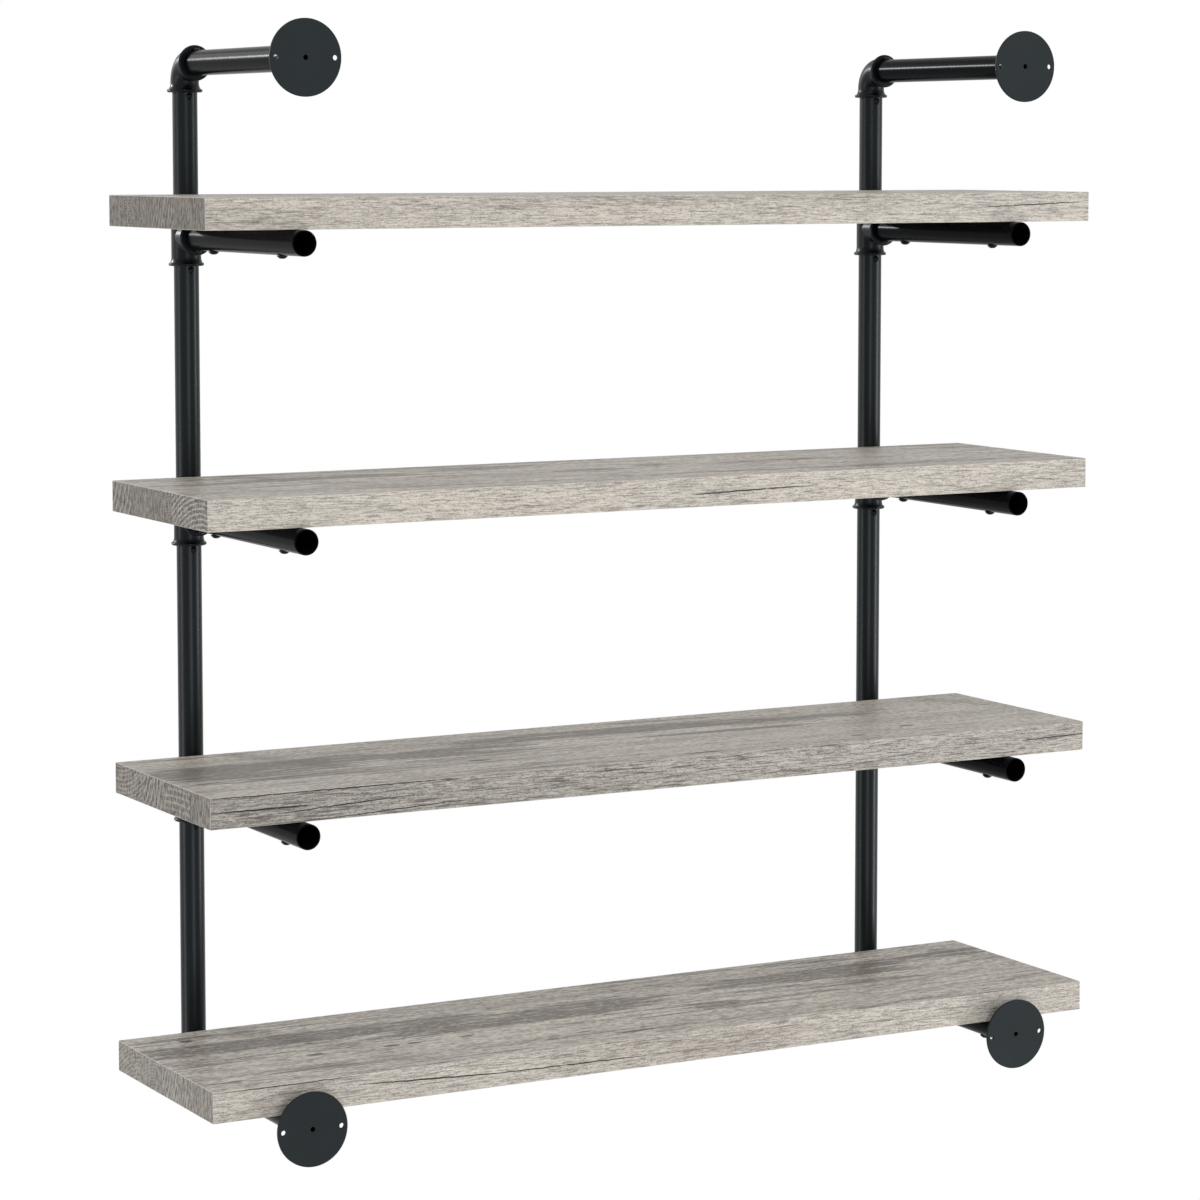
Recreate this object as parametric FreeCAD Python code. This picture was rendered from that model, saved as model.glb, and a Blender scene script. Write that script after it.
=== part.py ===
"""A wall bookshelf: four thick boards on two steel tube frames.

Lengths are in millimetres, +Z is up. The origin lies on the wall plane (y = 0), at the centre of the
four wall plates. The room is on the -Y side. Left and right are as seen from the room, so the right
frame is at +X.
"""
import FreeCAD, Part
import math
import os

Vector = FreeCAD.Vector

# Boards
board_count = 4
board_length = 1016.0
board_depth = 244.0
board_thickness = 31.0
board_edge_round = 0.9
shelf_pitch = 284.5
board_to_wall = 18.0

# Tube frames
tube_diameter = 25.4
tube_wall = 1.5
frame_to_board_end = 96.5
upright_to_board = 35.0
open_end_to_wall = 6.0
top_arm_rise = 175.0

# Elbows and tees
fitting_reach = 29.0
elbow_body_diameter = 28.8
elbow_bend_radius = 19.0
elbow_bore = 13.0
tee_body_diameter = 30.2
tee_bore = 14.5
cast_fillet = 2.2
lip_diameter = 36.0
lip_thickness = 3.5
flare_length = 5.5
spigot_length = 19.0
spigot_clearance = 0.2

# Wall plates
plate_diameter = 74.0
plate_thickness = 2.5
plate_edge_round = 0.5
plate_centre_hole = 5.2
plate_screw_hole = 5.2
plate_screw_from_rim = 6.3

# Shelf bolts and their inserts
bolt_diameter = 6.0
bolt_head_diameter = 11.2
bolt_head_height = 3.5
bolt_socket_across = 4.0
bolt_socket_depth = 2.0
bolt_from_wall_edge = 39.5
bolt_from_room_edge = 36.5
bolt_hole_clearance = 0.25
insert_diameter = 10.0
insert_length = 14.0
insert_recess = 0.5
insert_thread_clearance = 0.05
bolt_in_insert = 11.0

# Joint screws
joint_diameter = 4.0
joint_head_diameter = 7.4
joint_head_height = 2.3
joint_socket_across = 2.5
joint_socket_depth = 1.2
joint_setback = 4.2
joint_hole_clearance = 0.2
joint_thread_clearance = 0.05
joint_tip_inside = 1.0

# How far a cutting solid runs past the face that it cuts
overrun = 1.0

tube_radius = tube_diameter / 2
tube_bore_radius = tube_radius - tube_wall
lip_radius = lip_diameter / 2
spigot_radius = tube_bore_radius - spigot_clearance

# Places that follow from the sizes above
frame_spacing = board_length - 2 * frame_to_board_end
frame_height = top_arm_rise + (board_count - 1) * shelf_pitch
top_arm_z = frame_height / 2
bottom_arm_z = -frame_height / 2
board_wall_edge_y = -board_to_wall
board_room_edge_y = board_wall_edge_y - board_depth
upright_y = board_room_edge_y - upright_to_board
mouth_y = upright_y + fitting_reach

SIDES = {"left": -1, "right": 1}
shelf_numbers = range(1, board_count + 1)
tee_numbers = range(1, board_count)
UP = Vector(0, 0, 1)
DOWN = Vector(0, 0, -1)
TO_WALL = Vector(0, 1, 0)
TO_ROOM = Vector(0, -1, 0)


def arm_z(number):
    """Height of the arm under board number, counted from the top."""
    return top_arm_z - top_arm_rise - (number - 1) * shelf_pitch


def board_underside_z(number):
    return arm_z(number) + tube_radius


def frame_x(side):
    return SIDES[side] * frame_spacing / 2


def bolt_places():
    """The y of the two bolts under each arm."""
    return [board_wall_edge_y - bolt_from_wall_edge, board_room_edge_y + bolt_from_room_edge]


def rod(start, direction, length, radius):
    """A solid round bar from start along direction."""
    return Part.makeCylinder(radius, length, start, direction)


def tube(start, end):
    """A length of frame tube between the centres of its two ends."""
    run = end - start
    outside = rod(start, run, run.Length, tube_radius)
    return outside.cut(rod(start, run, run.Length, tube_bore_radius))


def hexagon_bar(base, direction, across, length):
    """A six-sided bar, as the socket in a screw head."""
    corner_radius = across / math.sqrt(3)
    corners = []
    for corner in range(7):
        angle = math.radians(60 * corner)
        corners.append(Vector(corner_radius * math.cos(angle), corner_radius * math.sin(angle), 0))
    bar = Part.Face(Part.makePolygon(corners)).extrude(Vector(0, 0, length))
    bar.Placement = FreeCAD.Placement(base, FreeCAD.Rotation(UP, direction))
    return bar


def button_screw(seat, into, shank_radius, shank_length, head_radius, head_height,
                 socket_across, socket_depth):
    """A button-head screw: seat is the point under its head, into the way that its shank points."""
    dome_radius = (head_radius ** 2 + head_height ** 2) / (2 * head_height)
    dome_centre = seat + into * (dome_radius - head_height)
    head = Part.makeSphere(dome_radius, dome_centre)
    head = head.common(rod(seat, -into, head_height, head_radius))
    socket_base = seat - into * (head_height - socket_depth)
    head = head.cut(hexagon_bar(socket_base, -into, socket_across, socket_depth + overrun))
    return head.fuse(rod(seat, into, shank_length, shank_radius)).removeSplitter()


# Boards and the threaded inserts in them

def make_board(number):
    underside = board_underside_z(number)
    corner = Vector(-board_length / 2, board_room_edge_y, underside)
    board = Part.makeBox(board_length, board_depth, board_thickness, corner)
    board = board.makeFillet(board_edge_round, board.Edges)
    for side in SIDES:
        for y in bolt_places():
            mouth = Vector(frame_x(side), y, underside - overrun)
            depth = overrun + insert_recess + insert_length
            board = board.cut(rod(mouth, UP, depth, insert_diameter / 2))
    return board


def make_inserts(number):
    seat_z = board_underside_z(number) + insert_recess
    thread_radius = bolt_diameter / 2 + insert_thread_clearance
    inserts = []
    for side in SIDES:
        for y in bolt_places():
            seat = Vector(frame_x(side), y, seat_z)
            insert = rod(seat, UP, insert_length, insert_diameter / 2)
            bored = rod(seat - UP * overrun, UP, insert_length + 2 * overrun, thread_radius)
            inserts.append(insert.cut(bored))
    return Part.makeCompound(inserts)


# Wall plates

def make_plate(side, z):
    centre = Vector(frame_x(side), 0, z)
    plate = rod(centre, TO_ROOM, plate_thickness, plate_diameter / 2)
    plate = plate.makeFillet(plate_edge_round, [edge for edge in plate.Edges if edge.Closed])
    holes = [(0, plate_centre_hole)]
    for way in (-1, 1):
        holes.append((way * (plate_diameter / 2 - plate_screw_from_rim), plate_screw_hole))
    for across, diameter in holes:
        start = centre + Vector(across, overrun, 0)
        plate = plate.cut(rod(start, TO_ROOM, plate_thickness + 2 * overrun, diameter / 2))
    return plate


# Cast fittings: legs with a flared lip at the mouth and a spigot that goes inside the tube

def leg_edges(body_radius, start, along):
    """Half the section of a leg whose axis is Z, from a body of given radius out to the spigot's tip."""
    lip_back = fitting_reach - lip_thickness
    flare_start = lip_back - flare_length
    lip_round = lip_thickness / 2
    flare_width = lip_radius - lip_round - body_radius
    flare_radius = (flare_length ** 2 + flare_width ** 2) / (2 * flare_width)
    half_angle = math.asin(flare_length / flare_radius) / 2
    middle_radius = body_radius + flare_radius * (1 - math.cos(half_angle))
    middle_height = flare_start + flare_radius * math.sin(half_angle)
    body_start = Vector(body_radius, 0, start * along)
    body_end = Vector(body_radius, 0, flare_start * along)
    flare_middle = Vector(middle_radius, 0, middle_height * along)
    lip_start = Vector(lip_radius - lip_round, 0, lip_back * along)
    lip_outer = Vector(lip_radius, 0, (lip_back + lip_round) * along)
    lip_end = Vector(lip_radius - lip_round, 0, fitting_reach * along)
    spigot_start = Vector(spigot_radius, 0, fitting_reach * along)
    spigot_end = Vector(spigot_radius, 0, (fitting_reach + spigot_length) * along)
    tip_centre = Vector(0, 0, (fitting_reach + spigot_length) * along)
    edges = [
        Part.LineSegment(body_start, body_end),
        Part.Arc(body_end, flare_middle, lip_start),
        Part.Arc(lip_start, lip_outer, lip_end),
        Part.LineSegment(lip_end, spigot_start),
        Part.LineSegment(spigot_start, spigot_end),
        Part.LineSegment(spigot_end, tip_centre),
    ]
    return [edge.toShape() for edge in edges]


def revolved(edges):
    return Part.Face(Part.Wire(Part.__sortEdges__(edges))).revolve(Vector(0, 0, 0), UP, 360)


def make_leg(body_radius, start, direction):
    """One leg of a fitting, from start along its axis to the tip of its spigot."""
    tip = Vector(0, 0, fitting_reach + spigot_length)
    foot = Vector(0, 0, start)
    edges = leg_edges(body_radius, start, 1)
    edges.append(Part.LineSegment(tip, foot).toShape())
    edges.append(Part.LineSegment(foot, Vector(body_radius, 0, start)).toShape())
    leg = revolved(edges)
    leg.Placement = FreeCAD.Placement(Vector(0, 0, 0), FreeCAD.Rotation(UP, direction))
    return leg


def make_run(body_radius):
    """The straight body of a tee, with a mouth at the top and at the bottom."""
    tip = Vector(0, 0, fitting_reach + spigot_length)
    edges = leg_edges(body_radius, 0, 1) + leg_edges(body_radius, 0, -1)
    edges.append(Part.LineSegment(tip, -tip).toShape())
    return revolved(edges)


def leg_bore(direction, start, radius):
    return rod(direction * start, direction, fitting_reach + spigot_length + overrun - start, radius)


def bend(radius, vertical):
    """A quarter turn of round bar that joins the vertical leg to the leg towards the wall."""
    start = TO_WALL * elbow_bend_radius
    centre = start + vertical * elbow_bend_radius
    circle = Part.Wire(Part.makeCircle(radius, start, TO_WALL))
    return Part.Face(circle).revolve(centre, Vector(-vertical.z, 0, 0), 90)


def make_elbow(vertical, directions):
    bore_radius = elbow_bore / 2
    outside = bend(elbow_body_diameter / 2, vertical)
    inside = bend(bore_radius, vertical)
    for direction, outward in directions:
        outside = outside.fuse(make_leg(elbow_body_diameter / 2, elbow_bend_radius, direction))
        inside = inside.fuse(leg_bore(direction, elbow_bend_radius, bore_radius))
    return outside.cut(inside).cut(screw_holes(directions)).removeSplitter()


def make_tee(directions):
    """A straight run with a branch towards the wall, filleted where they meet."""
    run = make_run(tee_body_diameter / 2)
    branch = make_leg(elbow_body_diameter / 2, 0, TO_WALL)
    outside = run.fuse(branch)
    meeting = [edge for edge in outside.Edges if not isinstance(edge.Curve, (Part.Line, Part.Circle))]
    outside = outside.makeFillet(cast_fillet, meeting)
    bore_half_length = fitting_reach + spigot_length + overrun
    outside = outside.cut(rod(DOWN * bore_half_length, UP, 2 * bore_half_length, tee_bore / 2))
    outside = outside.cut(leg_bore(TO_WALL, 0, elbow_bore / 2))
    return outside.cut(screw_holes(directions)).removeSplitter()


def screw_seats(directions):
    """For each leg of a fitting centred on the origin: the seat of its joint screw and the way it faces."""
    seats = []
    for direction, outward in directions:
        along = direction * (fitting_reach + joint_setback)
        seats.append((along + outward * tube_radius, outward))
    return seats


def screw_holes(directions):
    """The tapped holes in a fitting's spigots."""
    radius = joint_diameter / 2 + joint_thread_clearance
    return [rod(seat, -outward, tube_radius, radius) for seat, outward in screw_seats(directions)]


def make_joint_screws(centre, directions):
    screws = []
    shank_length = tube_radius - elbow_bore / 2 + joint_tip_inside
    for seat, outward in screw_seats(directions):
        screws.append(button_screw(centre + seat, -outward, joint_diameter / 2, shank_length,
                                   joint_head_diameter / 2, joint_head_height,
                                   joint_socket_across, joint_socket_depth))
    return Part.makeCompound(screws)


def pierce(piece, centre, directions):
    """Cut the clearance holes of a fitting's joint screws through one wall of the tubes."""
    radius = joint_diameter / 2 + joint_hole_clearance
    for seat, outward in screw_seats(directions):
        start = centre + seat + outward * overrun
        piece = piece.cut(rod(start, -outward, tube_radius + overrun, radius))
    return piece


# What each fitting joins: the way each leg points, with the way its joint screw faces
ELBOW_TOP_LEGS = [(DOWN, TO_WALL), (TO_WALL, UP)]
ELBOW_BOTTOM_LEGS = [(UP, TO_WALL), (TO_WALL, DOWN)]
TEE_LEGS = [(UP, TO_WALL), (DOWN, TO_WALL), (TO_WALL, DOWN)]


def fittings(side):
    """Name, centre and legs of the fittings of one frame, from the top down."""
    x = frame_x(side)
    listed = [("elbow_top", Vector(x, upright_y, top_arm_z), ELBOW_TOP_LEGS)]
    for number in tee_numbers:
        listed.append(("tee_%d" % number, Vector(x, upright_y, arm_z(number)), TEE_LEGS))
    listed.append(("elbow_bottom", Vector(x, upright_y, bottom_arm_z), ELBOW_BOTTOM_LEGS))
    return listed


def make_uprights(side):
    """The upright tubes of one frame, each between two fittings."""
    joined = fittings(side)
    uprights = []
    for upper, lower in zip(joined, joined[1:]):
        top = upper[1] + DOWN * fitting_reach
        bottom = lower[1] + UP * fitting_reach
        piece = tube(bottom, top)
        for name, centre, directions in (upper, lower):
            piece = pierce(piece, centre, directions)
        uprights.append(piece)
    return uprights


def make_arm(centre, end_y, directions, bolted):
    """A tube from the mouth of a fitting towards the wall, with its holes."""
    start = Vector(centre.x, mouth_y, centre.z)
    arm = pierce(tube(start, Vector(centre.x, end_y, centre.z)), centre, directions)
    if bolted:
        radius = bolt_diameter / 2 + bolt_hole_clearance
        for y in bolt_places():
            base = Vector(centre.x, y, centre.z - tube_radius - overrun)
            arm = arm.cut(rod(base, UP, tube_diameter + 2 * overrun, radius))
    return arm


def make_shelf_bolts(side, number):
    shank_length = tube_diameter + insert_recess + bolt_in_insert
    bolts = []
    for y in bolt_places():
        seat = Vector(frame_x(side), y, arm_z(number) - tube_radius)
        bolts.append(button_screw(seat, UP, bolt_diameter / 2, shank_length, bolt_head_diameter / 2,
                                  bolt_head_height, bolt_socket_across, bolt_socket_depth))
    return Part.makeCompound(bolts)


def make_fitting(name, centre, directions):
    if name.startswith("elbow"):
        piece = make_elbow(directions[0][0], directions)
    else:
        piece = make_tee(directions)
    piece.translate(centre)
    return piece


def frame_nodes(side):
    """Every node of one frame."""
    nodes = {}
    plate_back_y = -plate_thickness
    for name, centre, directions in fittings(side):
        nodes[name] = make_fitting(name, centre, directions)
        nodes[name + "_screws"] = make_joint_screws(centre, directions)
    joined = {name: (centre, directions) for name, centre, directions in fittings(side)}
    for number, upright in enumerate(make_uprights(side), 1):
        nodes["upright_%d" % number] = upright
    centre, directions = joined["elbow_top"]
    nodes["arm_top"] = make_arm(centre, plate_back_y, directions, False)
    for number in tee_numbers:
        centre, directions = joined["tee_%d" % number]
        nodes["shelf_arm_%d" % number] = make_arm(centre, -open_end_to_wall, directions, True)
    centre, directions = joined["elbow_bottom"]
    nodes["arm_bottom"] = make_arm(centre, plate_back_y, directions, True)
    nodes["wall_plate_top"] = make_plate(side, top_arm_z)
    nodes["wall_plate_bottom"] = make_plate(side, bottom_arm_z)
    for number in shelf_numbers:
        nodes["shelf_bolts_%d" % number] = make_shelf_bolts(side, number)
    return {"%s_%s" % (side, name): piece for name, piece in nodes.items()}


def all_nodes():
    nodes = {}
    for number in shelf_numbers:
        nodes["shelf_board_%d" % number] = make_board(number)
        nodes["shelf_inserts_%d" % number] = make_inserts(number)
    for side in SIDES:
        nodes.update(frame_nodes(side))
    return nodes


os.makedirs("parts", exist_ok=True)
for node, shape in all_nodes().items():
    shape.exportStep("parts/%s.step" % node)
    print("%-28s solids %d valid %s volume %.0f" % (node, len(shape.Solids), shape.isValid(), shape.Volume))
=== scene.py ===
import math

import bpy
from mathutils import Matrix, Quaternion, Vector

# The finishes, the studio and the view of the wall bookshelf.
# Lengths are in metres, +Z is up, the wall is the plane y = 0 and the room is on the -Y side.
# Colours are in sRGB, from 0 to 255, and angles are in degrees.

WHITE = (255, 255, 255)

# Camera: the tilt is from straight down, the heading from +Y, the lens and the sensor in millimetres
CAMERA_PLACE = (1.8896, 3.2735, 0.4274)
CAMERA_TILT = 85.012
CAMERA_HEADING = 151.277
CAMERA_LENS = 113.46
CAMERA_SENSOR = 36.0
CAMERA_SHIFT = -0.10

# Floor and surroundings
FLOOR_Z = -1.25
FLOOR_RADIUS = 2.3
FLOOR_SIDES = 96
FLOOR_COLOURS = ((236, 236, 234), (232, 232, 230))
FLOOR_ROUGHNESS = 0.9
FLOOR_SPECULAR = 0.1
FLOOR_GLOW = 0.55
WORLD_COLOUR = (249, 248, 247)
WORLD_STRENGTH = 0.35

# Lamps: azimuth from +Y towards +X, elevation, distance, roll, width, height, and the light on a surface
# that faces the lamp, where 1 shows a colour as it is written
LAMPS = {
    "lamp_front": (18, 47, 4.0, 0, 1.5, 1.5, 0.24),
    "lamp_middle": (18, -7, 3.7, 0, 1.0, 2.1, 0.245),
    "lamp_right": (-62, -7, 3.6, 0, 0.9, 2.2, 0.52),
    "lamp_left": (104, -7, 3.6, 0, 0.75, 2.2, 0.215),
    "lamp_arm_left": (160.1, 19.7, 8.4, 45, 1.2, 3.2, 0.05),
    "lamp_arm_right": (150.6, 15.7, 8.0, 0, 0.9, 0.5, 0.40),
}

# Black coats: light and dark colour, roughness, size and depth of the orange peel, specular level
COATS = {
    "black_tube": ((9, 11, 14), (6, 7, 9), 0.33, 0.0020, 0.000001, 0.21),
    "black_arm": ((9, 11, 14), (6, 7, 9), 0.22, 0.0020, 0.000001, 0.025),
    "black_casting": ((12, 14, 16), (8, 9, 11), 0.34, 0.0016, 0.00005, 0.16),
    "black_plate": ((39, 44, 46), (33, 37, 39), 0.55, 0.0009, 0.00003, 0.12),
    "black_fastener": ((15, 17, 19), (9, 10, 12), 0.32, 0.0007, 0.00002, 0.16),
}
COAT_SHEEN = (232, 246, 251)
PEEL_DETAIL = (2.0, 0.55)
PEEL_BUMP = 0.35
# What the peel and the cloud add to the tone and to the roughness, and what is first taken off the latter
PEEL_TONE, CLOUD_TONE = 0.35, 0.65
PEEL_ROUGHNESS, CLOUD_ROUGHNESS, LESS_ROUGHNESS = 0.02, 0.06, 0.04

# Zinc-plated steel: dark and light colour, lowest roughness and what the turning marks add to it
STEEL_COLOURS = ((150, 152, 156), (196, 198, 202))
STEEL_ROUGHNESS = (0.25, 0.2)
STEEL_BUMP, STEEL_RELIEF = 0.3, 0.00004

# The finish of a node goes by the first of these words in its name. Each board has a wood of its own
FINISHES = {
    "inserts": "insert_steel", "screws": "black_fastener", "bolts": "black_fastener", "plate": "black_plate",
    "elbow": "black_casting", "tee": "black_casting", "arm": "black_arm", "upright": "black_tube",
}

# Boards: height of each top, from the top board down
BOARD_TOPS = {1: 0.38295, 2: 0.09845, 3: -0.18605, 4: -0.47055}
BOARD_HALF_LENGTH = 0.508

# Colours of the wood
PALE = (220, 212, 201)
COOL = (209, 203, 194)
MID = (180, 171, 162)
SMOKE = (114, 107, 99)
STROKE = (89, 86, 84)
EDGE_GREY = (130, 129, 128)
FLECK = (230, 225, 216)
CRACK = (48, 46, 45)
# Painted highlight: the pale line laid along the rounded edges of the boards
EDGE_HIGHLIGHT = (222, 217, 208)
END_PALE = (163, 159, 153)
END_DARK = (92, 87, 82)
END_RING = (206, 200, 191)

# Noises of the grain: cells per metre along and across it on the edges, the same on the faces, detail
# and roughness
GRAIN_NOISES = {
    "streak": ((8.0, 560.0), (3.6, 95.0), 4.0, 0.62),
    "cluster": ((18.0, 170.0), (7.0, 40.0), 3.0, 0.6),
    "fibre": ((400.0, 900.0), (110.0, 360.0), 1.0, 0.6),
    "stroke": ((34.0, 700.0), (26.0, 260.0), 2.0, 0.6),
    "dot": ((100.0, 840.0), (150.0, 430.0), 1.0, 0.55),
}

# Other noises: cells per metre along each axis of their place, detail and roughness
NOISES = {
    "wander": ((1.9, 9.0, 1.0), 1.0, 0.5),
    "ripple": ((14.0, 90.0, 1.0), 2.0, 0.5),
    "tone": ((1.6, 22.0, 1.0), 3.0, 0.6),
    "hue": ((5.0, 60.0, 1.0), 2.0, 0.5),
    "line": ((6.0, 150.0, 1.0), 2.0, 0.55),
    "crack_jitter": ((75.0, 0.0, 0.0), 2.0, 0.5),
    "crack_gaps": ((70.0, 60.0, 0.0), 2.0, 0.5),
    "hatch": ((150.0, 480.0, 1.0), 2.0, 0.6),
    "ring_wave": ((210.0, 120.0, 1.0), 2.0, 0.6),
    "ring_gaps": ((260.0, 260.0, 1.0), 2.0, 0.6),
    "cloud": ((11.0, 11.0, 7.0), 3.0, 0.6),
    "turning": ((60.0, 60.0, 2600.0), 2.0, 0.5),
    "mottle": ((3.0, 3.0, 3.0), 2.0, 0.5),
}

# Smooth steps: the value where each is 0 and the value where it is 1
STEPS = {
    "rounding": (0.99, 0.80),
    "patch": (1.8, 0.0),
    "hue": (0.35, 0.65),
    "tone": (0.46, 0.80),
    "smoke_and_reflections": (0.54, 0.90),
    "fibre": (0.50, 0.68),
    "dot": (0.50, 0.62),
    "line": (0.022, 0.004),
    "line_cluster": (0.46, 0.60),
    "stroke": (0.55, 0.63),
    "stroke_cluster": (0.42, 0.64),
    "fleck": (0.44, 0.30),
    "knot": (0.42, 0.85),
    "near_knot": (0.02, 0.20),
    "crack_gaps": (0.24, 0.40),
    "hatch": (0.34, 0.66),
    "ring": (0.26, 0.06),
    "ring_gaps": (0.30, 0.55),
    "cloud": (0.3, 0.7),
}

# How strongly marks show: on the faces, the change from there to the edges, and the further change where
# the edges are smoky. Flecks show as marks do, times a share that falls where the edges are smoky
DEPTHS = {"marks": (0.52, -0.04, 0.40), "smoke_and_reflections": (0.86, -0.60, 0.55), "dots": (0.40, -0.10, 0.0)}
FLECK_DEPTH = (0.90, -0.62)
KNOT_DEPTH = 0.9
EDGE_GREY_DEPTH = 0.60
# How strongly the painted highlight on the rounded edges shows
EDGE_HIGHLIGHT_DEPTH = 0.70

# How strokes show away from their clusters, on the faces, and what the edges add to it
SCATTERED_STROKES = (0.50, 0.15)

# Sideways movement of the grain: its wandering, what the faces add to it, and its ripple
WANDER, FACE_WANDER, RIPPLE = 0.008, 0.020, 0.0010

# Smoky patches, and the painted reflections of the upright among them, are longer and wider than their table
# says. They and the smoky edges push the smoke up by this much, and noise frays the borders of smoke and
# knots
PATCH_LONGER, PATCH_WIDER = 1.6, 1.8
PATCH_PUSH = 0.27
EDGE_PUSH = 0.13
SMOKE_FRAY = 0.50
KNOT_FRAY = 2.6

# Cracks: how far they shake up and down, the share of their width that is fully dark, and the plane
# beyond which they lie
CRACK_SHAKE = 0.0022
CRACK_CORE = 0.35
CRACK_SIDE_Y = -0.1

# How far the growth rings wave in and out
RING_WAVE = 0.0042

# A surface is a face or an end where its normal points at least this far along Z or X, else an edge
SQUARE = 0.7

# How fast the print changes from one layer of a board to the next, in cells of its noises per metre
PRINT_STEP = 97.0

# Relief and sheen of the wood: how deep fibres, cracks and marks are, the strength and the distance of
# its bump, its lowest roughness and what the fibres add to it
FIBRE_RELIEF, CRACK_RELIEF, MARK_RELIEF = 0.4, 1.2, 0.3
WOOD_BUMP, WOOD_RELIEF = 0.5, 0.00025
WOOD_ROUGHNESS = (0.36, 0.16)
END_ROUGHNESS = 0.80
WOOD_SPECULAR = 0.10

# How smoky the long edges of each board are, at the right end and at the left end
EDGE_SMOKE = {1: (0.10, 0.00), 2: (0.05, 0.10), 3: (0.95, 0.50), 4: (0.15, 0.25)}

# Smoky patches on each top: x, y, half length, half width and strength. The first two on boards 1 and 2, by
# the upright, are painted reflections of the upright
SMOKE_AND_REFLECTION_PATCHES = {
    1: [(0.41, -0.240, 0.06, 0.030, 1.0), (0.32, -0.235, 0.09, 0.012, 1.2),
        (-0.10, -0.120, 0.25, 0.018, 0.6)],
    2: [(0.40, -0.250, 0.05, 0.018, 0.8), (0.41, -0.165, 0.05, 0.030, 0.8),
        (0.32, -0.200, 0.05, 0.012, 0.9), (0.27, -0.179, 0.05, 0.005, 1.2),
        (0.256, -0.067, 0.02, 0.008, 0.7), (0.18, -0.141, 0.04, 0.006, 1.0),
        (0.12, -0.216, 0.04, 0.012, 0.9), (0.09, -0.109, 0.05, 0.005, 1.1),
        (0.035, -0.137, 0.03, 0.010, 0.9), (-0.06, -0.171, 0.015, 0.006, 1.0),
        (-0.15, -0.119, 0.03, 0.008, 1.3), (-0.21, -0.151, 0.05, 0.010, 1.4),
        (-0.32, -0.240, 0.04, 0.012, 0.8)],
    3: [(0.460, -0.165, 0.04, 0.022, 1.2), (0.39, -0.143, 0.06, 0.026, 1.4),
        (0.30, -0.175, 0.03, 0.012, 0.9), (0.218, -0.155, 0.04, 0.010, 0.9),
        (0.165, -0.158, 0.05, 0.018, 1.1), (0.04, -0.200, 0.08, 0.014, 1.3),
        (-0.067, -0.202, 0.05, 0.012, 1.2), (-0.155, -0.192, 0.07, 0.011, 1.4),
        (-0.137, -0.146, 0.06, 0.005, 1.2), (-0.24, -0.183, 0.06, 0.010, 1.2),
        (-0.339, -0.188, 0.04, 0.010, 1.0), (-0.184, -0.142, 0.03, 0.008, 0.9),
        (-0.36, -0.055, 0.03, 0.010, 0.7), (0.34, -0.150, 0.15, 0.060, 0.25),
        (-0.36, -0.130, 0.13, 0.070, -0.35)],
    4: [(0.44, -0.186, 0.10, 0.011, 1.8), (0.29, -0.184, 0.09, 0.012, 1.8),
        (0.47, -0.136, 0.05, 0.008, 1.1), (0.383, -0.061, 0.03, 0.008, 0.8),
        (0.305, -0.049, 0.04, 0.006, 0.9), (0.14, -0.148, 0.08, 0.010, 1.2),
        (0.176, -0.186, 0.03, 0.010, 1.0), (0.04, -0.160, 0.06, 0.017, 1.5),
        (-0.10, -0.115, 0.02, 0.007, 1.1), (-0.22, -0.187, 0.06, 0.012, 1.3),
        (-0.29, -0.231, 0.04, 0.014, 1.0), (-0.31, -0.176, 0.05, 0.014, 1.2),
        (-0.43, -0.203, 0.09, 0.010, 1.3), (-0.28, -0.132, 0.05, 0.006, 1.1),
        (-0.47, -0.057, 0.03, 0.004, 1.1)],
}

# Small dark knots on each top: x, y, half length and half width
KNOTS = {
    1: [(-0.22, -0.10, 0.008, 0.004)],
    2: [(0.034, -0.048, 0.009, 0.004), (-0.17, -0.158, 0.016, 0.004), (-0.235, -0.155, 0.020, 0.004)],
    3: [(0.182, -0.096, 0.016, 0.005), (-0.044, -0.032, 0.028, 0.003), (-0.246, -0.052, 0.014, 0.004),
        (-0.325, -0.085, 0.011, 0.004), (0.475, -0.098, 0.016, 0.003)],
    4: [(0.275, -0.108, 0.009, 0.005), (0.250, -0.108, 0.009, 0.005), (0.357, -0.111, 0.012, 0.005),
        (0.190, -0.111, 0.010, 0.005), (0.121, -0.057, 0.010, 0.004), (0.078, -0.068, 0.008, 0.004),
        (0.450, -0.223, 0.008, 0.006), (0.482, -0.047, 0.025, 0.003), (0.023, -0.047, 0.022, 0.003)],
}

# Cracks in each wall edge: x and depth below the top where it begins and where it ends, and half width
CRACKS = {
    1: [(-0.366, 0.0154, -0.500, 0.0105, 0.0008)],
    2: [(-0.020, 0.0180, -0.155, 0.0145, 0.0010)],
    3: [(0.512, 0.0150, 0.400, 0.0149, 0.0011), (-0.428, 0.0151, -0.516, 0.0132, 0.0009),
        (0.440, 0.0207, 0.290, 0.0136, 0.0008), (0.395, 0.0300, 0.230, 0.0232, 0.0007),
        (0.514, 0.0014, 0.240, 0.0016, 0.0008)],
    4: [(0.355, 0.0105, 0.190, 0.0178, 0.0011), (0.215, 0.0172, 0.030, 0.0190, 0.0009),
        (0.514, 0.0016, 0.350, 0.0018, 0.0007)],
}

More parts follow.
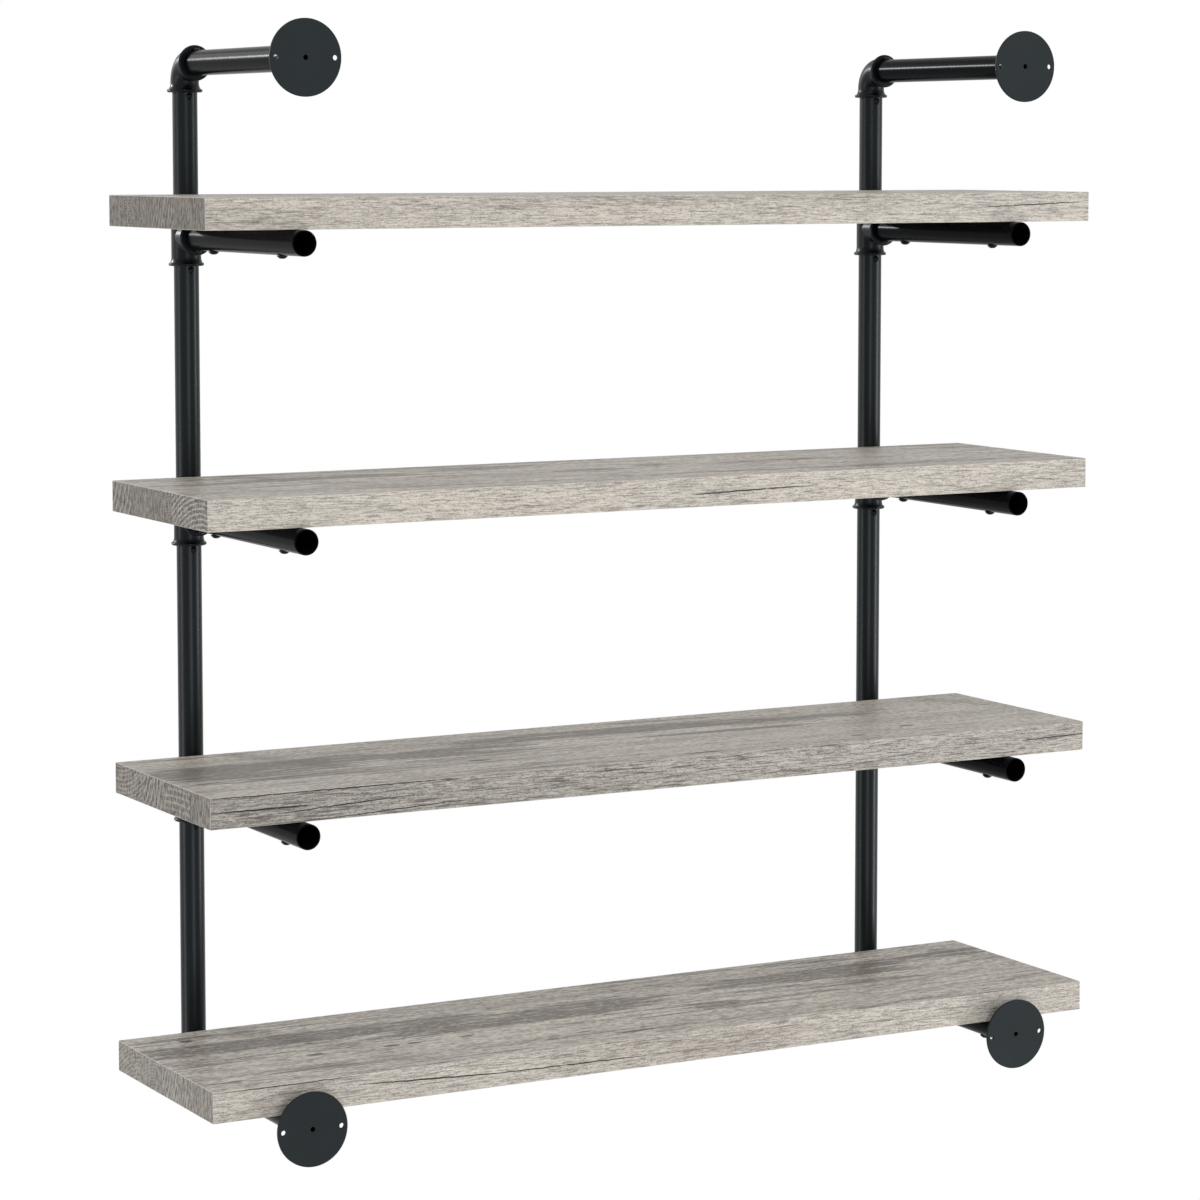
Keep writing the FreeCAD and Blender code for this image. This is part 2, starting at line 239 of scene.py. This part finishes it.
# The end grain is that of blocks side by side: where each begins, the centre of its rings as y and height
# above the top, their spacing and how strongly they show
END_BLOCKS = {
    1: [(-0.262, -0.208, -0.075, 0.0028, 0.40), (-0.151, -0.284, 0.042, 0.0066, 0.55),
        (-0.098, 0.110, -0.020, 0.0040, 0.30)],
    2: [(-0.262, -0.335, 0.040, 0.0095, 0.65), (-0.212, -0.107, -0.062, 0.0030, 0.35),
        (-0.107, -0.030, -0.115, 0.0050, 0.95)],
    3: [(-0.262, -0.255, 0.090, 0.0044, 0.50), (-0.187, -0.215, 0.010, 0.0080, 0.55),
        (-0.133, -0.090, -0.350, 0.0065, 0.45), (-0.068, 0.060, -0.020, 0.0034, 0.25)],
    4: [(-0.262, -0.191, -0.112, 0.0042, 0.45), (-0.201, -0.155, -0.092, 0.0032, 0.35),
        (-0.147, -0.240, 0.030, 0.0064, 0.50), (-0.068, 0.060, 0.030, 0.0045, 0.35)],
}

# Painted shade laid over each end, and how strongly: darkest on the top board, less lower down and lighter on
# board 4, standing in for how the light on the ends differs
END_PAINTED_SHADE = {1: (0.34, END_DARK), 2: (0.25, END_DARK), 3: (0.15, END_DARK), 4: (0.20, END_PALE)}


def linear(colour):
    """An sRGB colour, written from 0 to 255, as the linear colour that a shader takes."""
    shares = [channel / 255 for channel in colour]
    return tuple([s / 12.92 if s <= 0.04045 else ((s + 0.055) / 1.055) ** 2.4 for s in shares] + [1.0])


class Graph:
    """The nodes of one material or world. Inputs are numbers, tuples or the outputs of other nodes."""

    def __init__(self, owner):
        self.owner = owner
        owner.use_nodes = True
        self.tree = owner.node_tree
        self.tree.nodes.clear()

    def add(self, kind, inputs, **settings):
        node = self.tree.nodes.new(kind)
        for name, value in settings.items():
            setattr(node, name, value)
        for key, value in inputs.items():
            if isinstance(value, bpy.types.NodeSocket):
                self.tree.links.new(value, node.inputs[key])
            else:
                node.inputs[key].default_value = value
        return node

    def math(self, operation, *values):
        return self.add("ShaderNodeMath", dict(enumerate(values)), operation=operation).outputs[0]

    def fold(self, operation, values):
        result, *others = values
        for value in others:
            result = self.math(operation, result, value)
        return result

    def total(self, *values):
        return self.fold("ADD", values)

    def product(self, *values):
        return self.fold("MULTIPLY", values)

    def largest(self, *values):
        return self.fold("MAXIMUM", values)

    def less(self, value, taken):
        return self.math("SUBTRACT", value, taken)

    def scaled(self, value, factor, start):
        """The value times the factor, plus a start."""
        return self.math("MULTIPLY_ADD", value, factor, start)

    def centred(self, noise, size):
        """A noise from 0 to 1, moved and scaled so that it swings round 0 through this size."""
        return self.scaled(noise, size, -size / 2)

    def place_on_object(self):
        return self.add("ShaderNodeTexCoord", {}).outputs["Object"]

    def split(self, vector):
        return list(self.add("ShaderNodeSeparateXYZ", {0: vector}).outputs)

    def join(self, x, y, z):
        return self.add("ShaderNodeCombineXYZ", {0: x, 1: y, 2: z}).outputs[0]

    def noise(self, place, cells, detail, roughness):
        """Noise from 0 to 1, with this number of cells per metre along each axis."""
        stretched = self.add("ShaderNodeVectorMath", {0: place, 1: cells}, operation="MULTIPLY").outputs[0]
        inputs = {"Vector": stretched, "Scale": 1.0, "Detail": detail, "Roughness": roughness}
        return self.add("ShaderNodeTexNoise", inputs).outputs["Fac"]

    def slope(self, value, low, high, to_low=0.0, to_high=1.0):
        """A smooth step from to_low at low to to_high at high."""
        inputs = {"Value": value, "From Min": low, "From Max": high, "To Min": to_low, "To Max": to_high}
        return self.add("ShaderNodeMapRange", inputs, interpolation_type="SMOOTHSTEP").outputs["Result"]

    def step(self, name, value, least=0.0):
        """One of the smooth steps in the table, from least to 1."""
        return self.slope(value, *STEPS[name], least)

    def pick(self, share, first, second, kind="FLOAT"):
        """first where share is 0, second where it is 1."""
        at = {"FLOAT": (0, 2, 3, 0), "VECTOR": (0, 4, 5, 1), "RGBA": (0, 6, 7, 2)}[kind]
        node = self.add("ShaderNodeMix", {at[0]: share, at[1]: first, at[2]: second}, data_type=kind)
        return node.outputs[at[3]]

    def tint(self, under, *layers):
        """A colour with others laid over it. Each layer is how strongly it covers, and its colour."""
        for share, over in layers:
            pair = [c if isinstance(c, bpy.types.NodeSocket) else linear(c) for c in (under, over)]
            under = self.pick(share, *pair, "RGBA")
        return under

    def bump(self, height, strength, distance):
        inputs = {"Strength": strength, "Distance": distance, "Height": height}
        return self.add("ShaderNodeBump", inputs).outputs[0]

    def finish(self, shader_inputs):
        shader = self.add("ShaderNodeBsdfPrincipled", shader_inputs)
        self.add("ShaderNodeOutputMaterial", {"Surface": shader.outputs[0]})
        return self.owner


class Wood(Graph):
    """Grey driftwood laminate: the grain runs along X on the faces and edges, with rings on the ends."""

    def __init__(self, number):
        super().__init__(bpy.data.materials.new("wood_%d" % number))
        self.number = number
        self.x, self.y, self.z = self.split(self.place_on_object())
        self.height = self.less(self.z, BOARD_TOPS[number])
        self.find_side()
        self.find_place()
        self.find_grain()
        at_right, at_left = EDGE_SMOKE[number]
        self.edge_smoke = self.slope(self.x, -BOARD_HALF_LENGTH, BOARD_HALF_LENGTH, at_left, at_right)

    def find_side(self):
        """Whether a point is on a face, an edge or an end, and whether it is on a rounding."""
        normal = self.add("ShaderNodeNewGeometry", {}).outputs["True Normal"]
        facing = [self.math("ABSOLUTE", axis) for axis in self.split(normal)]
        self.on_face = self.math("GREATER_THAN", facing[2], SQUARE)
        self.on_end = self.math("GREATER_THAN", facing[0], SQUARE)
        self.on_edge = self.less(1.0, self.total(self.on_face, self.on_end))
        self.rounding = self.step("rounding", self.largest(*facing))

    def find_place(self):
        """The place in the side's own print: along the grain, across it, and which print it is."""
        layer_x, layer_y, layer_z = [self.product(axis, PRINT_STEP) for axis in (self.x, self.y, self.z)]
        face_place = self.join(self.x, self.y, layer_z)
        edge_place = self.join(self.x, self.z, layer_y)
        end_place = self.join(self.z, self.y, layer_x)
        long_place = self.pick(self.on_face, edge_place, face_place, "VECTOR")
        self.place = self.pick(self.on_end, long_place, end_place, "VECTOR")

    def find_grain(self):
        """The same place with a grain that wanders and ripples, and the noises that follow it."""
        along, across, layer = self.split(self.place)
        wander = self.less(self.noise(self.place, *NOISES["wander"]), 0.5)
        ripple = self.less(self.noise(self.place, *NOISES["ripple"]), 0.5)
        swing = self.product(self.scaled(self.on_face, FACE_WANDER, WANDER), wander)
        bent = self.total(across, swing, self.product(ripple, RIPPLE))
        self.grain = self.join(along, bent, layer)
        self.noises = {}
        for name, (edge_cells, face_cells, detail, roughness) in GRAIN_NOISES.items():
            cells = self.pick(self.on_face, (*edge_cells, 1.0), (*face_cells, 1.0), "VECTOR")
            self.noises[name] = self.noise(self.grain, cells, detail, roughness)

    def depth(self, name):
        """How strongly a kind of mark shows here."""
        on_face, edge_change, smoky_change = DEPTHS[name]
        return self.scaled(self.on_edge, self.scaled(self.edge_smoke, smoky_change, edge_change), on_face)

    def patch(self, x, y, half_length, half_width):
        """1 at the centre of a long soft patch and 0 outside it."""
        dx = self.product(self.less(self.x, x), 1 / half_length)
        dy = self.product(self.less(self.y, y), 1 / half_width)
        return self.step("patch", self.total(self.product(dx, dx), self.product(dy, dy)))

    def smoke_and_reflections(self):
        """Smoky patches on the tops, some of them painted reflections of the upright, and smoky stretches of
        the edges, with fibrous borders.
        """
        patches = []
        for x, y, half_length, half_width, strength in SMOKE_AND_REFLECTION_PATCHES[self.number]:
            patch = self.patch(x, y, PATCH_LONGER * half_length, PATCH_WIDER * half_width)
            patches.append(self.product(patch, PATCH_PUSH * strength))
        push = self.total(self.product(self.total(*patches), self.on_face),
                          self.product(self.edge_smoke, self.on_edge, EDGE_PUSH))
        fringe = self.centred(self.noises["stroke"], SMOKE_FRAY)
        # Streaks swing twice as far on the faces
        streak = self.scaled(self.noises["streak"], self.scaled(self.on_face, 1.0, 1.0),
                             self.product(self.on_face, -0.5))
        return self.step("smoke_and_reflections", self.total(streak, push, fringe))

    def knots(self):
        near = self.largest(*[self.patch(*spot) for spot in KNOTS[self.number]])
        frayed = self.total(near, self.centred(self.noises["stroke"], KNOT_FRAY))
        return self.product(self.step("knot", frayed), self.step("near_knot", near), self.on_face)

    def crack(self, height, start_x, start_depth, end_x, end_depth, half_width):
        """1 on a thin crack that runs between two points and closes at its ends."""
        inputs = {"Value": self.x, "From Min": start_x, "From Max": end_x}
        share = self.add("ShaderNodeMapRange", inputs).outputs["Result"]
        line = self.scaled(share, start_depth - end_depth, -start_depth)
        offset = self.math("ABSOLUTE", self.less(height, line))
        taper = self.product(share, self.less(1.0, share))
        width = self.product(self.math("SQRT", taper), 2 * half_width)
        return self.slope(offset, width, self.product(width, CRACK_CORE))

    def cracks(self):
        """Cracks in the edge towards the wall, with gaps in them."""
        jitter = self.noise(self.place, *NOISES["crack_jitter"])
        shaken = self.total(self.height, self.centred(jitter, CRACK_SHAKE))
        cracks = self.largest(*[self.crack(shaken, *ends) for ends in CRACKS[self.number]])
        open_parts = self.step("crack_gaps", self.noise(self.place, *NOISES["crack_gaps"]))
        towards_wall = self.math("GREATER_THAN", self.y, CRACK_SIDE_Y)
        return self.product(cracks, self.on_edge, towards_wall, open_parts)

    def dark_marks(self):
        """Thin dark lines and short strokes."""
        cluster = self.noises["cluster"]
        line_noise = self.noise(self.grain, *NOISES["line"])
        ridge = self.math("ABSOLUTE", self.less(line_noise, 0.5))
        lines = self.product(self.step("line", ridge), self.step("line_cluster", cluster))
        on_face, edge_more = SCATTERED_STROKES
        scattered = self.scaled(self.on_edge, edge_more, on_face)
        strokes = self.product(self.step("stroke", self.noises["stroke"]),
                               self.step("stroke_cluster", cluster, scattered))
        return self.largest(lines, strokes)

    def pale_flecks(self):
        return self.largest(self.step("fleck", self.noises["stroke"]), self.step("fleck", self.noises["dot"]))

    def growth_rings(self):
        """Pale rings on an end of the board, block by block."""
        (_, ring_y, ring_height, spacing, strength), *others = END_BLOCKS[self.number]
        centre = (ring_y, ring_height, 1 / spacing)
        for start, ring_y, ring_height, spacing, block_strength in others:
            beyond = self.math("GREATER_THAN", self.y, start)
            centre = self.pick(beyond, centre, (ring_y, ring_height, 1 / spacing), "VECTOR")
            strength = self.pick(beyond, strength, block_strength)
        ring_y, ring_height, rings_per_metre = self.split(centre)
        across = self.less(self.y, ring_y)
        up = self.less(self.height, ring_height)
        distance = self.math("SQRT", self.total(self.product(across, across), self.product(up, up)))
        wave = self.product(self.noise(self.place, *NOISES["ring_wave"]), RING_WAVE)
        turns = self.math("FRACT", self.product(self.total(distance, wave), rings_per_metre))
        ring = self.step("ring", self.math("ABSOLUTE", self.less(turns, 0.5)))
        gaps = self.step("ring_gaps", self.noise(self.place, *NOISES["ring_gaps"]))
        return self.product(ring, strength, gaps)

    def end_colour(self):
        hatch = self.step("hatch", self.noise(self.place, *NOISES["hatch"]))
        # The last layer is painted shade, or on board 4 painted light, that differs from board to board
        return self.tint(END_DARK, (hatch, END_PALE), (self.growth_rings(), END_RING), END_PAINTED_SHADE[self.number])

    def long_colour(self, marks):
        """The colour of the faces and edges."""
        mark_depth = self.depth("marks")
        less_when_smoky = self.scaled(self.edge_smoke, FLECK_DEPTH[1], FLECK_DEPTH[0])
        fleck_depth = self.product(mark_depth, less_when_smoky)
        return self.tint(
            PALE,
            (self.step("hue", self.noise(self.place, *NOISES["hue"])), COOL),
            (self.step("tone", self.noise(self.grain, *NOISES["tone"])), MID),
            (self.product(self.edge_smoke, self.on_edge, EDGE_GREY_DEPTH), EDGE_GREY),
            # Smoke, with the painted reflections of the upright on the tops
            (self.product(self.smoke_and_reflections(), self.depth("smoke_and_reflections")), SMOKE),
            (self.product(self.step("fibre", self.noises["fibre"]), mark_depth), SMOKE),
            (self.product(self.step("dot", self.noises["dot"]), self.depth("dots")), STROKE),
            (self.product(self.pale_flecks(), fleck_depth), FLECK),
            (self.product(marks, mark_depth), STROKE),
            (self.product(self.knots(), KNOT_DEPTH), STROKE),
        )

    def finished(self):
        """The material, with its colour, relief and sheen."""
        fibre = self.noises["fibre"]
        marks = self.dark_marks()
        cracks = self.cracks()
        colour = self.tint(
            self.long_colour(marks),
            (self.on_end, self.end_colour()),
            (cracks, CRACK),
            # Painted highlight along the rounded edges
            (self.product(self.rounding, EDGE_HIGHLIGHT_DEPTH), EDGE_HIGHLIGHT),
        )
        relief = self.less(self.product(fibre, -FIBRE_RELIEF), self.product(cracks, CRACK_RELIEF))
        relief = self.less(relief, self.product(marks, MARK_RELIEF))
        smoothest, fibre_roughness = WOOD_ROUGHNESS
        roughness = self.pick(self.on_end, self.scaled(fibre, fibre_roughness, smoothest), END_ROUGHNESS)
        return self.finish({"Base Color": colour, "Roughness": roughness, "Specular IOR Level": WOOD_SPECULAR,
                            "Normal": self.bump(relief, WOOD_BUMP, WOOD_RELIEF)})


def coated_metal(name, light, dark, roughness, peel_size, peel_relief, specular):
    """Powder-coated metal: a fine orange-peel surface with a slightly uneven tone and sheen."""
    graph = Graph(bpy.data.materials.new(name))
    place = graph.place_on_object()
    peel = graph.noise(place, (1 / peel_size,) * 3, *PEEL_DETAIL)
    cloud = graph.noise(place, *NOISES["cloud"])
    share = graph.scaled(peel, PEEL_TONE, graph.product(graph.step("cloud", cloud), CLOUD_TONE))
    peeled = graph.scaled(peel, PEEL_ROUGHNESS, roughness - LESS_ROUGHNESS)
    return graph.finish({"Base Color": graph.tint(dark, (share, light)),
                         "Roughness": graph.scaled(cloud, CLOUD_ROUGHNESS, peeled),
                         "Specular IOR Level": specular, "Specular Tint": linear(COAT_SHEEN),
                         "Normal": graph.bump(peel, PEEL_BUMP, peel_relief)})


def plated_steel(name):
    """Zinc-plated steel, with fine turning marks round Z."""
    graph = Graph(bpy.data.materials.new(name))
    turned = graph.noise(graph.place_on_object(), *NOISES["turning"])
    dark, light = STEEL_COLOURS
    smoothest, turned_roughness = STEEL_ROUGHNESS
    return graph.finish({"Base Color": graph.tint(dark, (turned, light)), "Metallic": 1.0,
                         "Roughness": graph.scaled(turned, turned_roughness, smoothest),
                         "Normal": graph.bump(turned, STEEL_BUMP, STEEL_RELIEF)})


def dress_nodes(nodes):
    """Give every node its finish."""
    woods = {"shelf_board_%d" % number: Wood(number).finished() for number in BOARD_TOPS}
    metals = {name: coated_metal(name, *coat) for name, coat in COATS.items()}
    metals["insert_steel"] = plated_steel("insert_steel")
    for name, node in nodes.items():
        if name in woods:
            finish = woods[name]
        else:
            finish = metals[next(metal for word, metal in FINISHES.items() if word in name)]
        node.data.materials.clear()
        node.data.materials.append(finish)


def link(item):
    bpy.context.scene.collection.objects.link(item)


def make_camera():
    data = bpy.data.cameras.new("camera")
    data.lens = CAMERA_LENS
    data.sensor_width = CAMERA_SENSOR
    data.shift_y = CAMERA_SHIFT
    camera = bpy.data.objects.new("camera", data)
    camera.location = CAMERA_PLACE
    camera.rotation_euler = (math.radians(CAMERA_TILT), 0.0, math.radians(CAMERA_HEADING))
    link(camera)
    bpy.context.scene.camera = camera


def make_lamps():
    for name, (azimuth, elevation, distance, roll, width, height, level) in LAMPS.items():
        turn, rise = math.radians(azimuth), math.radians(elevation)
        way = Vector((math.sin(turn) * math.cos(rise), math.cos(turn) * math.cos(rise), math.sin(rise)))
        data = bpy.data.lights.new(name, "AREA")
        data.shape = "RECTANGLE"
        data.size = width
        data.size_y = height
        data.energy = level * (math.pi * distance) ** 2
        lamp = bpy.data.objects.new(name, data)
        lamp.location = way * distance
        facing = way.to_track_quat("Z", "Y") @ Quaternion((0.0, 0.0, 1.0), math.radians(roll))
        lamp.rotation_euler = facing.to_euler()
        lamp.visible_camera = False
        link(lamp)


def seen_directly(graph):
    """1 for rays from the camera, a reflection or a transmission, and 0 for light on the object."""
    light_path = graph.add("ShaderNodeLightPath", {})
    rays = ("Is Camera Ray", "Is Glossy Ray", "Is Transmission Ray")
    return graph.largest(*[light_path.outputs[ray] for ray in rays])


def make_floor():
    """A pale round floor that glows where it is seen, and still shows the object's shadow."""
    graph = Graph(bpy.data.materials.new("floor"))
    mottle = graph.noise(graph.place_on_object(), *NOISES["mottle"])
    under, over = FLOOR_COLOURS
    finish = graph.finish({"Base Color": graph.tint(under, (mottle, over)), "Roughness": FLOOR_ROUGHNESS,
                           "Specular IOR Level": FLOOR_SPECULAR, "Emission Color": linear(WHITE),
                           "Emission Strength": graph.product(seen_directly(graph), FLOOR_GLOW)})
    turns = [2 * math.pi * side / FLOOR_SIDES for side in range(FLOOR_SIDES)]
    rim = [(FLOOR_RADIUS * math.cos(turn), FLOOR_RADIUS * math.sin(turn), FLOOR_Z) for turn in turns]
    mesh = bpy.data.meshes.new("floor")
    mesh.from_pydata(rim, [], [range(FLOOR_SIDES)])
    mesh.materials.append(finish)
    floor = bpy.data.objects.new("floor", mesh)
    link(floor)


def make_world():
    """White to the camera and in reflections, a soft plain light on the object."""
    graph = Graph(bpy.data.worlds.new("studio"))
    seen = seen_directly(graph)
    colour = graph.tint(WORLD_COLOUR, (seen, WHITE))
    strength = graph.pick(seen, WORLD_STRENGTH, 1.0)
    background = graph.add("ShaderNodeBackground", {"Color": colour, "Strength": strength})
    graph.add("ShaderNodeOutputWorld", {"Surface": background.outputs[0]})
    bpy.context.scene.world = graph.owner


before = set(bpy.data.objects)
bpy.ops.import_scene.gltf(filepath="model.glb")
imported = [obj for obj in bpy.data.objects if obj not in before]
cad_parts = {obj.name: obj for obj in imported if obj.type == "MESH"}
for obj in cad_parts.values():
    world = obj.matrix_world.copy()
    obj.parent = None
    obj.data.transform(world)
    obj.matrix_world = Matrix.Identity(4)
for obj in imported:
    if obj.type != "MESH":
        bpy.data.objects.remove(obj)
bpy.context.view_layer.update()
dress_nodes(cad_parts)
make_world()
make_floor()
make_lamps()
make_camera()
bpy.context.scene.view_settings.view_transform = "Standard"
